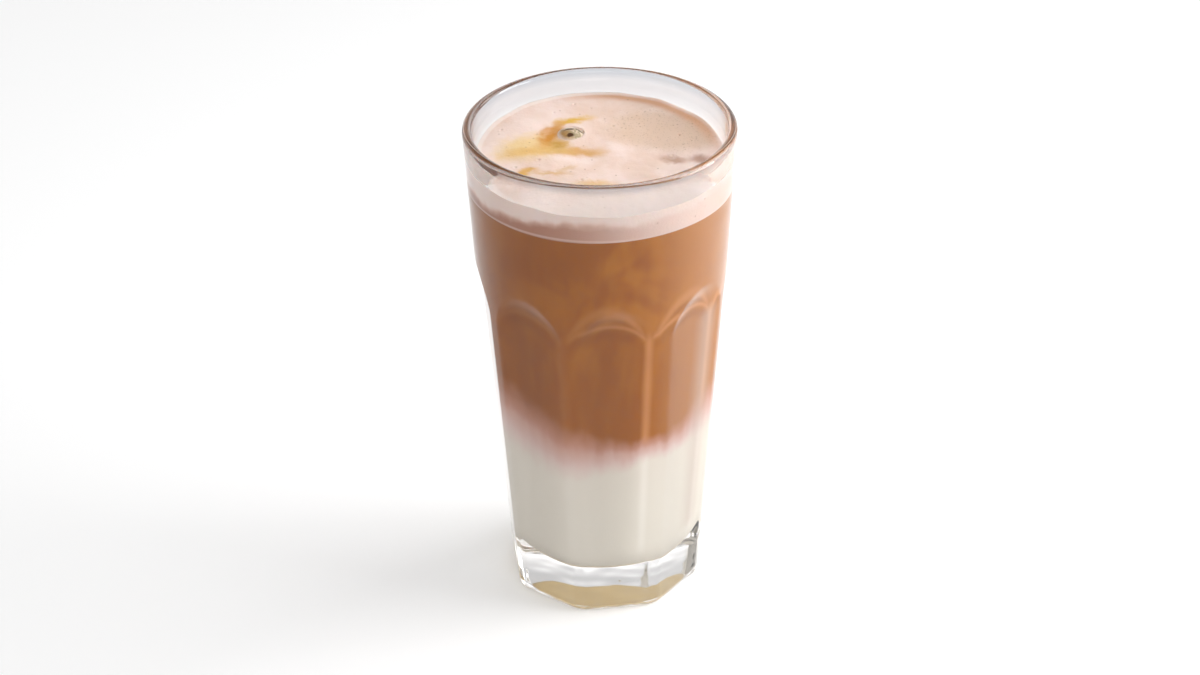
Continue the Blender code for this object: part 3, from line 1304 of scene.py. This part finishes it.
@dataclass(frozen=True)
class FoamCap:
    """Milk foam on the coffee, leaning a little, with hollows, bubbles and a pocket for the ice.

    Attributes:
        drink, ice: The layers below, and the ice cube that breaks the surface.
        overlap: How far the foam reaches into the glass.
        top, tilt: Height of the surface in the middle, and its rise for each metre towards +Y.
        pocket_radius, pocket_depth: Size of the pocket round the ice.
        pocket_ragged: How ragged its edge is, as a share of its radius.
        collar, collar_width: Height of the foam pushed up round it, and how far that reaches.
        wall_climb, wall_sway: How high the foam climbs the glass, and how much that varies.
        wall_width: Distance from the glass over which it climbs.
        waves, grain: Heights of the soft waves and of the fine unevenness.
        bubble_rim: Height of a bubble's rim, as a share of its radius.
        cells, rows: Fineness across the surface and down the side.
    """

    drink: Drink
    ice: IceCube
    overlap: float = 0.00012
    top: float = 0.1456
    tilt: float = 0.052
    pocket_radius: float = 0.0036
    pocket_depth: float = 0.0045
    pocket_ragged: float = 0.20
    collar: float = 0.00035
    collar_width: float = 0.0012
    wall_climb: float = 0.00020
    wall_sway: float = 0.00035
    wall_width: float = 0.0020
    waves: float = 0.00030
    grain: float = 0.00007
    bubble_rim: float = 0.25
    cells: int = 220
    rows: int = 10

    def hollows(self) -> tuple[tuple[float, float, float, float], ...]:
        """Shallow hollows as (x, y, radius, depth)."""
        return (
            (0.0205, -0.0063, 0.0034, 0.0008),
            (0.0288, -0.0076, 0.0032, 0.0008),
            (-0.0135, 0.0060, 0.0030, 0.0004),
            (-0.0060, -0.0010, 0.0050, 0.0003),
        )

    def bubbles(self) -> tuple[tuple[float, float, float], ...]:
        """Open bubbles that show singly, as (x, y, radius)."""
        return (
            (0.0060, 0.0150, 0.00040),
            (0.0038, 0.0127, 0.00030),
            (-0.0185, -0.0017, 0.00045),
            (-0.0166, -0.0022, 0.00025),
            (-0.0259, -0.0050, 0.00040),
            (-0.0273, -0.0050, 0.00022),
            (-0.0076, -0.0152, 0.00045),
            (0.0249, 0.0069, 0.00040),
            (0.0116, 0.0128, 0.00030),
            (0.0213, -0.0037, 0.00035),
            (-0.0105, 0.0260, 0.00035),
            (-0.0274, 0.0178, 0.00035),
            (-0.0037, 0.0302, 0.00040),
            (0.0009, 0.0269, 0.00035),
        )

    def surface(self, x: float, y: float) -> float:
        """Height of the foam's surface.

        Args:
            x: Place along X.
            y: Place along Y.

        Returns:
            The height there.
        """
        height = self.top + self.tilt * y
        for centre_x, centre_y, radius, depth in self.hollows():
            distance = math.hypot(x - centre_x, y - centre_y) / radius
            height -= depth * math.exp(-(distance**2))
        for centre_x, centre_y, radius in self.bubbles():
            distance = math.hypot(x - centre_x, y - centre_y) / radius
            height -= radius * math.exp(-(distance**2))
            height += self.bubble_rim * radius * math.exp(-((distance - 1.8) ** 2) * 4)
        height += self.waves * noise.noise(Vector((x, y, 0.0)) * 90.0)
        height += self.grain * noise.noise(Vector((x, y, 0.5)) * 420.0)
        across, along = x - self.ice.place[0], y - self.ice.place[1]
        to_ice = math.hypot(across, along)
        turn = math.atan2(along, across)
        ragged = noise.noise(Vector((2 * math.cos(turn), 2 * math.sin(turn), 5.0)))
        edge = self.pocket_radius * (1 + self.pocket_ragged * ragged)
        if to_ice < edge:
            height -= self.pocket_depth * (1 - (to_ice / edge) ** 4)
        height += self.collar * math.exp(-max(to_ice - edge, 0.0) / self.collar_width)
        to_wall = self.drink.tumbler.inner_radius(self.top) - math.hypot(x, y)
        climb = self.wall_climb + self.wall_sway * noise.noise(Vector((math.atan2(x, y) * 3.0, 0.0, 2.0)))
        return height + climb * math.exp(-max(to_wall, 0.0) / self.wall_width)

    def disc(self, mesh: Mesh) -> None:
        """Round the square grid into the tumbler and raise it to the surface.

        Args:
            mesh: The foam's mesh, a grid from -1 to 1.
        """
        tumbler = self.drink.tumbler
        level = tumbler.inner_radius(self.top)
        for vertex in mesh.vertices:
            across, along = vertex.co.x, vertex.co.y
            unit_x = across * math.sqrt(1 - along**2 / 2)
            unit_y = along * math.sqrt(1 - across**2 / 2)
            height = self.surface(unit_x * level, unit_y * level)
            radius = tumbler.inner_radius(height) + self.overlap
            vertex.co = (unit_x * radius, unit_y * radius, height)

    def skirt(self, piece: Piece) -> None:
        """Close the side and the underside below the surface.

        Args:
            piece: The foam.
        """
        tumbler = self.drink.tumbler
        with Workshop.editing():
            bpy.ops.mesh.region_to_loop()
            for rows_left in range(self.rows, 0, -1):
                bpy.ops.mesh.extrude_region_move()
                edit = bmesh.from_edit_mesh(piece.data)
                for vertex in [vertex for vertex in edit.verts if vertex.select]:
                    angle = math.atan2(vertex.co.y, vertex.co.x)
                    bottom = self.drink.coffee_edge(vertex.co.x, vertex.co.y) - self.overlap
                    height = vertex.co.z + (bottom - vertex.co.z) / rows_left
                    radius = tumbler.inner_radius(height) + self.overlap
                    vertex.co = (radius * math.cos(angle), radius * math.sin(angle), height)
                bmesh.update_edit_mesh(piece.data)
            bpy.ops.mesh.edge_face_add()

    def build(self) -> Piece:
        """Model the foam and dress it.

        Returns:
            The piece.
        """
        Workshop.deselect()
        bpy.ops.mesh.primitive_grid_add(x_subdivisions=self.cells, y_subdivisions=self.cells, size=2.0)
        piece = Workshop.named("foam_cap")
        self.disc(piece.data)
        self.skirt(piece)
        Workshop.dress(piece, FoamFinish().material(), "milk_foam", "foam")
        return piece


@dataclass(frozen=True)
class Camera:
    """The camera at the photograph's angle.

    Attributes:
        azimuth, elevation: Direction that it looks from, in degrees.
        distance: Distance from the point that it looks at.
        aside, aim: How far to the right of the axis that point lies, and its height.
        roll: Degrees that the camera is turned about its view.
        lens: Focal length in millimetres on a sensor 36 mm wide.
    """

    azimuth: float = -7.4
    elevation: float = 30.09
    distance: float = 0.9904
    aside: float = -0.00068
    aim: float = 0.08194
    roll: float = -0.712
    lens: float = 96.54

    def build(self) -> None:
        """Place the camera."""
        back = direction(self.azimuth, self.elevation)
        right = direction(self.azimuth + 90.0, 0.0)
        place = right * self.aside + Vector((0, 0, self.aim)) + back * self.distance
        axes = Matrix((right, back.cross(right), back)).transposed()
        turn = axes @ Matrix.Rotation(math.radians(self.roll), 3, "Z")
        data = bpy.data.cameras.new("Camera")
        data.lens = self.lens
        data.sensor_width = 36.0
        data.clip_start = 0.01
        camera = bpy.data.objects.new("Camera", data)
        camera.matrix_world = Matrix.Translation(place) @ turn.to_4x4()
        bpy.context.scene.collection.objects.link(camera)
        bpy.context.scene.camera = camera


@dataclass(frozen=True)
class Softbox:
    """A square lamp that points at the drink.

    Attributes:
        name: Name of the lamp.
        azimuth, elevation: Direction that it shines from, in degrees.
        distance: Distance from the drink.
        size, power: Length of its sides, and watts.
        aim: Height that it points at.
    """

    name: str
    azimuth: float
    elevation: float
    distance: float
    size: float
    power: float
    aim: float = 0.08

    def build(self) -> None:
        """Place the lamp."""
        out = direction(self.azimuth, self.elevation)
        data = bpy.data.lights.new(self.name, "AREA")
        data.shape = "SQUARE"
        data.size = self.size
        data.energy = self.power
        lamp = bpy.data.objects.new(self.name, data)
        lamp.location = out * self.distance + Vector((0, 0, self.aim))
        lamp.rotation_euler = out.to_track_quat("Z", "Y").to_euler()
        bpy.context.scene.collection.objects.link(lamp)


@dataclass(frozen=True)
class Studio:
    """White surface, soft light and a pale room.

    Attributes:
        floor_size: Length of the white surface.
        floor_drop: How far the surface lies below the foot, so that the two faces stay apart.
        ceiling, walls: Brightness of the room overhead and at the horizon.
        horizon: Heights on the unit sphere between which the walls turn into the ceiling.
    """

    floor_size: float = 5.0
    floor_drop: float = 0.0001
    ceiling: float = 0.66
    walls: float = 1.62
    horizon: Span = (0.1, 0.7)

    def softboxes(self) -> tuple[Softbox, ...]:
        """The lamps."""
        return (
            Softbox("Key", 75.0, 15.0, 0.5, 0.30, 1.9),
            Softbox("Edge", 105.0, 35.0, 0.5, 0.30, 1.2),
            Softbox("Front", 0.0, 15.0, 1.0, 0.60, 1.4),
        )

    def build(self) -> None:
        """Set up the studio."""
        bpy.context.scene.view_settings.view_transform = "Standard"
        Workshop.deselect()
        bpy.ops.mesh.primitive_plane_add(size=self.floor_size, location=(0, 0, -self.floor_drop))
        floor = Workshop.named("white_surface")
        floor.data.materials.append(FloorFinish().material())
        for softbox in self.softboxes():
            softbox.build()
        self.room()

    def room(self) -> None:
        """Surround the scene with bright walls under a darker ceiling."""
        world = bpy.data.worlds.new("Room")
        bpy.context.scene.world = world
        world.use_nodes = True
        tree = world.node_tree
        place = tree.nodes.new("ShaderNodeTexCoord")
        split = tree.nodes.new("ShaderNodeSeparateXYZ")
        ramp = tree.nodes.new("ShaderNodeMapRange")
        ramp.interpolation_type = "SMOOTHSTEP"
        ends = zip(("From Min", "From Max", "To Min", "To Max"), (*self.horizon, self.walls, self.ceiling))
        for key, number in ends:
            ramp.inputs[key].default_value = number
        background = tree.nodes["Background"]
        background.inputs["Color"].default_value = (1.0, 1.0, 1.0, 1.0)
        tree.links.new(place.outputs["Generated"], split.inputs[0])
        tree.links.new(split.outputs["Z"], ramp.inputs["Value"])
        tree.links.new(ramp.outputs[0], background.inputs["Strength"])


def main() -> None:
    """Build every piece around the fixed frame."""
    logging.basicConfig(level=logging.INFO, format="%(name)s %(message)s")
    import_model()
    Camera().build()
    tumbler = Tumbler()
    tumbler.build()
    drink = Drink(tumbler)
    for layer in Layer:
        drink.build(layer)
    ice = IceCube()
    ice.build()
    FoamCap(drink, ice).build()
    Studio().build()


if __name__ == "__main__":
    main()
